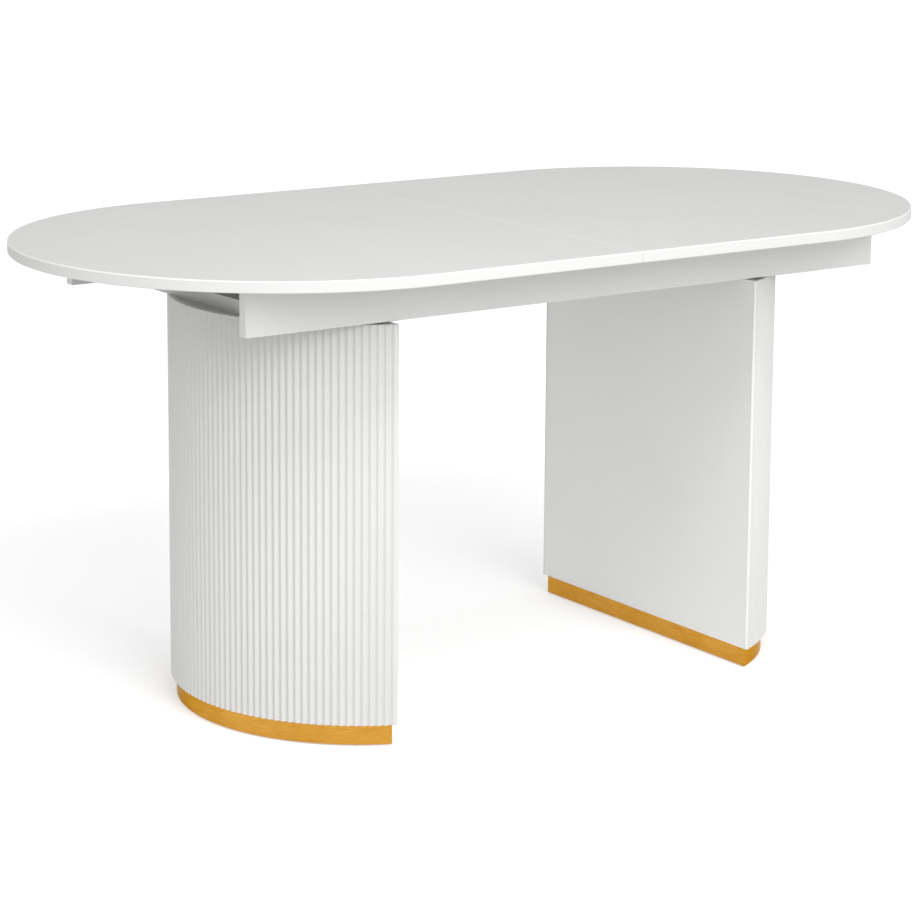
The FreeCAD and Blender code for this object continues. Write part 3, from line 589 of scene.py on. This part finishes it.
def fluted_skin(hand, name):
    """The bent skin of one leg, with every reed as a rounded rib."""
    node = f"{name}_leg_fluted_skin"
    low, high = size_of(node)
    radius, centre, face = leg_curve(name)
    inner = radius - SKIN_THICK
    inner_half = math.acos((face - centre) / inner)
    profile = reed_profile(radius, centre, face)
    count = len(profile)
    bm = bmesh.new()
    rings = []
    for level, depth in (*((low.z + rise, depth) for rise, depth in SKIN_EASING),
                         *((high.z - rise, depth) for rise, depth in reversed(SKIN_EASING))):
        line = turned(inset_line(profile, depth, centre), hand)
        rings.append([bm.verts.new((x, y, level)) for x, y in line])
    back = turned([polar(centre, inner, -inner_half + 2 * inner_half * i / (count - 1))
                   for i in range(count)], hand)
    backs = [[bm.verts.new((x, y, level)) for x, y in back] for level in (low.z, high.z)]
    for lower, upper in (*zip(rings, rings[1:]), backs):
        for i in range(count - 1):
            bm.faces.new((lower[i], lower[i + 1], upper[i + 1], upper[i]))
    for ring, inside in ((rings[0], backs[0]), (rings[-1], backs[1])):
        for i in range(count - 1):
            bm.faces.new((ring[i], ring[i + 1], inside[i + 1], inside[i]))
    for end in (0, -1):
        bm.faces.new([ring[end] for ring in rings] + [backs[1][end], backs[0][end]])
    piece = finish_mesh(f"{name}_reeded_skin", bm, SKIN_SHARP_ANGLE)
    dress(piece, "frame", reed_lacquer, node)
    # The skin's faces by the flat face take its whiter lacquer, the same painted light.
    piece.data.materials.append(panel_lacquer_painted_light)
    for part in piece.data.polygons:
        part.material_index = int(abs(part.center.x) - face < END_FACE)


def half_round(radius, centre, face, steps):
    """A half-round outline: an arc from one end of the flat face to the other."""
    half = math.acos((face - centre) / radius)
    return arc(centre, radius, -half, half, steps)


def inner_panel(hand, name):
    """The flat face of a leg, its ends cut to the inside of the skin."""
    node = f"{name}_leg_inner_panel"
    low, high = size_of(node)
    radius, centre, face = leg_curve(name)
    inner = radius - SKIN_THICK
    back = max(abs(low.x), abs(high.x))
    start, stop = (math.acos((x - centre) / inner) for x in (face, back))
    outline = (arc(centre, inner, -start, -stop, PANEL_STEPS)
               + arc(centre, inner, stop, start, PANEL_STEPS))
    piece = prism(f"{name}_flat_panel", turned(outline, hand), low.z, high.z, PANEL_ROUND,
                  corner_weight=0.0)
    # Whiter lacquer than the skin: painted light on the leg's flat face.
    dress(piece, "frame", panel_lacquer_painted_light, node)


def plinth_band(hand, name):
    """The gold strip round a plinth."""
    node = f"{name}_plinth_band"
    low, high = size_of(node)
    face, radius, centre = curve_of(node)
    outer = half_round(radius, centre, face, BAND_STEPS)
    inner = half_round(radius - BAND_THICK, centre, face + BAND_THICK, BAND_STEPS)
    piece = prism(f"{name}_gold_band", turned(outer, hand), low.z, high.z, PLINTH_ROUND,
                  hole=turned(inner, hand))
    dress(piece, "frame", gold, node)


def apron(side):
    """A side rail, its edges eased."""
    node = f"apron_{side}"
    low, high = size_of(node)
    piece = prism(f"{side}_side_rail", rectangle(low, high), low.z, high.z, BOARD_ROUND)
    # Darker lacquer than the top: painted shade under the top's overhang.
    dress(piece, "frame", apron_lacquer_painted_shade, node)


paint_cad_nodes()
for hand, name in ((-1, "left"), (1, "right")):
    top_half(hand, name)
    fluted_skin(hand, name)
    inner_panel(hand, name)
    plinth_band(hand, name)
leaf()
for side in ("near", "far"):
    apron(side)


# ---- floor, light and camera ----------------------------------------------------------------

def floor():
    """A plain pale floor that glows a little, so that it reaches white as in a studio."""
    bm = bmesh.new()
    bmesh.ops.create_grid(bm, x_segments=1, y_segments=1, size=FLOOR_SIZE)
    piece = finish_mesh("studio_floor", bm)
    made = Shader("studio_floor", Specular_IOR_Level=0.0, Roughness=1.0,
                  Emission_Strength=FLOOR_GLOW, Emission_Color=WHITE)
    made.colour(made.ramp(made.noise(0.6, detail=2.0), FLOOR_TONES))
    piece.data.materials.append(made.material)
    piece.location.z = -FLOOR_DROP


def sky():
    """A pale studio, brightest behind the camera and softer behind the table."""
    world = bpy.data.worlds.new("studio")
    bpy.context.scene.world = world
    world.use_nodes = True
    tree = world.node_tree
    away = tree.nodes.new("ShaderNodeVectorMath")
    away.operation = "DOT_PRODUCT"
    directions = tree.nodes.new("ShaderNodeTexCoord").outputs["Generated"]
    tree.links.new(directions, away.inputs[0])
    away.inputs[1].default_value = SKY_AWAY
    level = tree.nodes.new("ShaderNodeMapRange")
    tree.links.new(away.outputs["Value"], level.inputs["Value"])
    for socket, number in (("From Min", -1.0), ("From Max", 1.0),
                           ("To Min", SKY_FRONT), ("To Max", SKY_BACK)):
        level.inputs[socket].default_value = number
    background = tree.nodes["Background"]
    tree.links.new(level.outputs["Result"], background.inputs["Strength"])
    background.inputs["Color"].default_value = WHITE


def lamp(data, towards):
    """A light in the scene that shines along towards."""
    item = bpy.data.objects.new(data.name, data)
    item.rotation_mode = "QUATERNION"
    item.rotation_quaternion = Vector(towards).to_track_quat("-Z", "Y")
    bpy.context.scene.collection.objects.link(item)
    return item


def sun():
    """The soft key light, from behind the camera and to its right."""
    data = bpy.data.lights.new("key", "SUN")
    data.energy = SUN_STRENGTH
    data.angle = math.radians(SUN_SPREAD)
    lamp(data, SUN_TOWARDS)


def front_fill():
    """A long panel above the near side of the table, turned down towards it."""
    data = bpy.data.lights.new("front_fill", "AREA")
    data.shape = "RECTANGLE"
    data.size, data.size_y = FILL_WIDTH, FILL_HEIGHT
    data.energy = FILL_POWER
    item = lamp(data, Vector(FILL_TARGET) - Vector(FILL_PLACE))
    item.location = FILL_PLACE
    item.visible_camera = False


def camera():
    """A long lens a little above the table, looking along it from the near left."""
    data = bpy.data.cameras.new("camera")
    data.sensor_width = CAMERA_SENSOR
    data.lens = CAMERA_LENS
    data.shift_x, data.shift_y = CAMERA_SHIFT
    data.clip_end = CAMERA_REACH
    item = bpy.data.objects.new("camera", data)
    item.matrix_world = (Matrix.Translation(CAMERA_PLACE)
                         @ Matrix.Rotation(-CAMERA_YAW, 4, "Z")
                         @ Matrix.Rotation(math.pi / 2 - CAMERA_PITCH, 4, "X")
                         @ Matrix.Rotation(CAMERA_ROLL, 4, "Z"))
    bpy.context.scene.collection.objects.link(item)
    bpy.context.scene.camera = item


floor()
sky()
sun()
front_fill()
bpy.context.scene.view_settings.view_transform = "Standard"
camera()
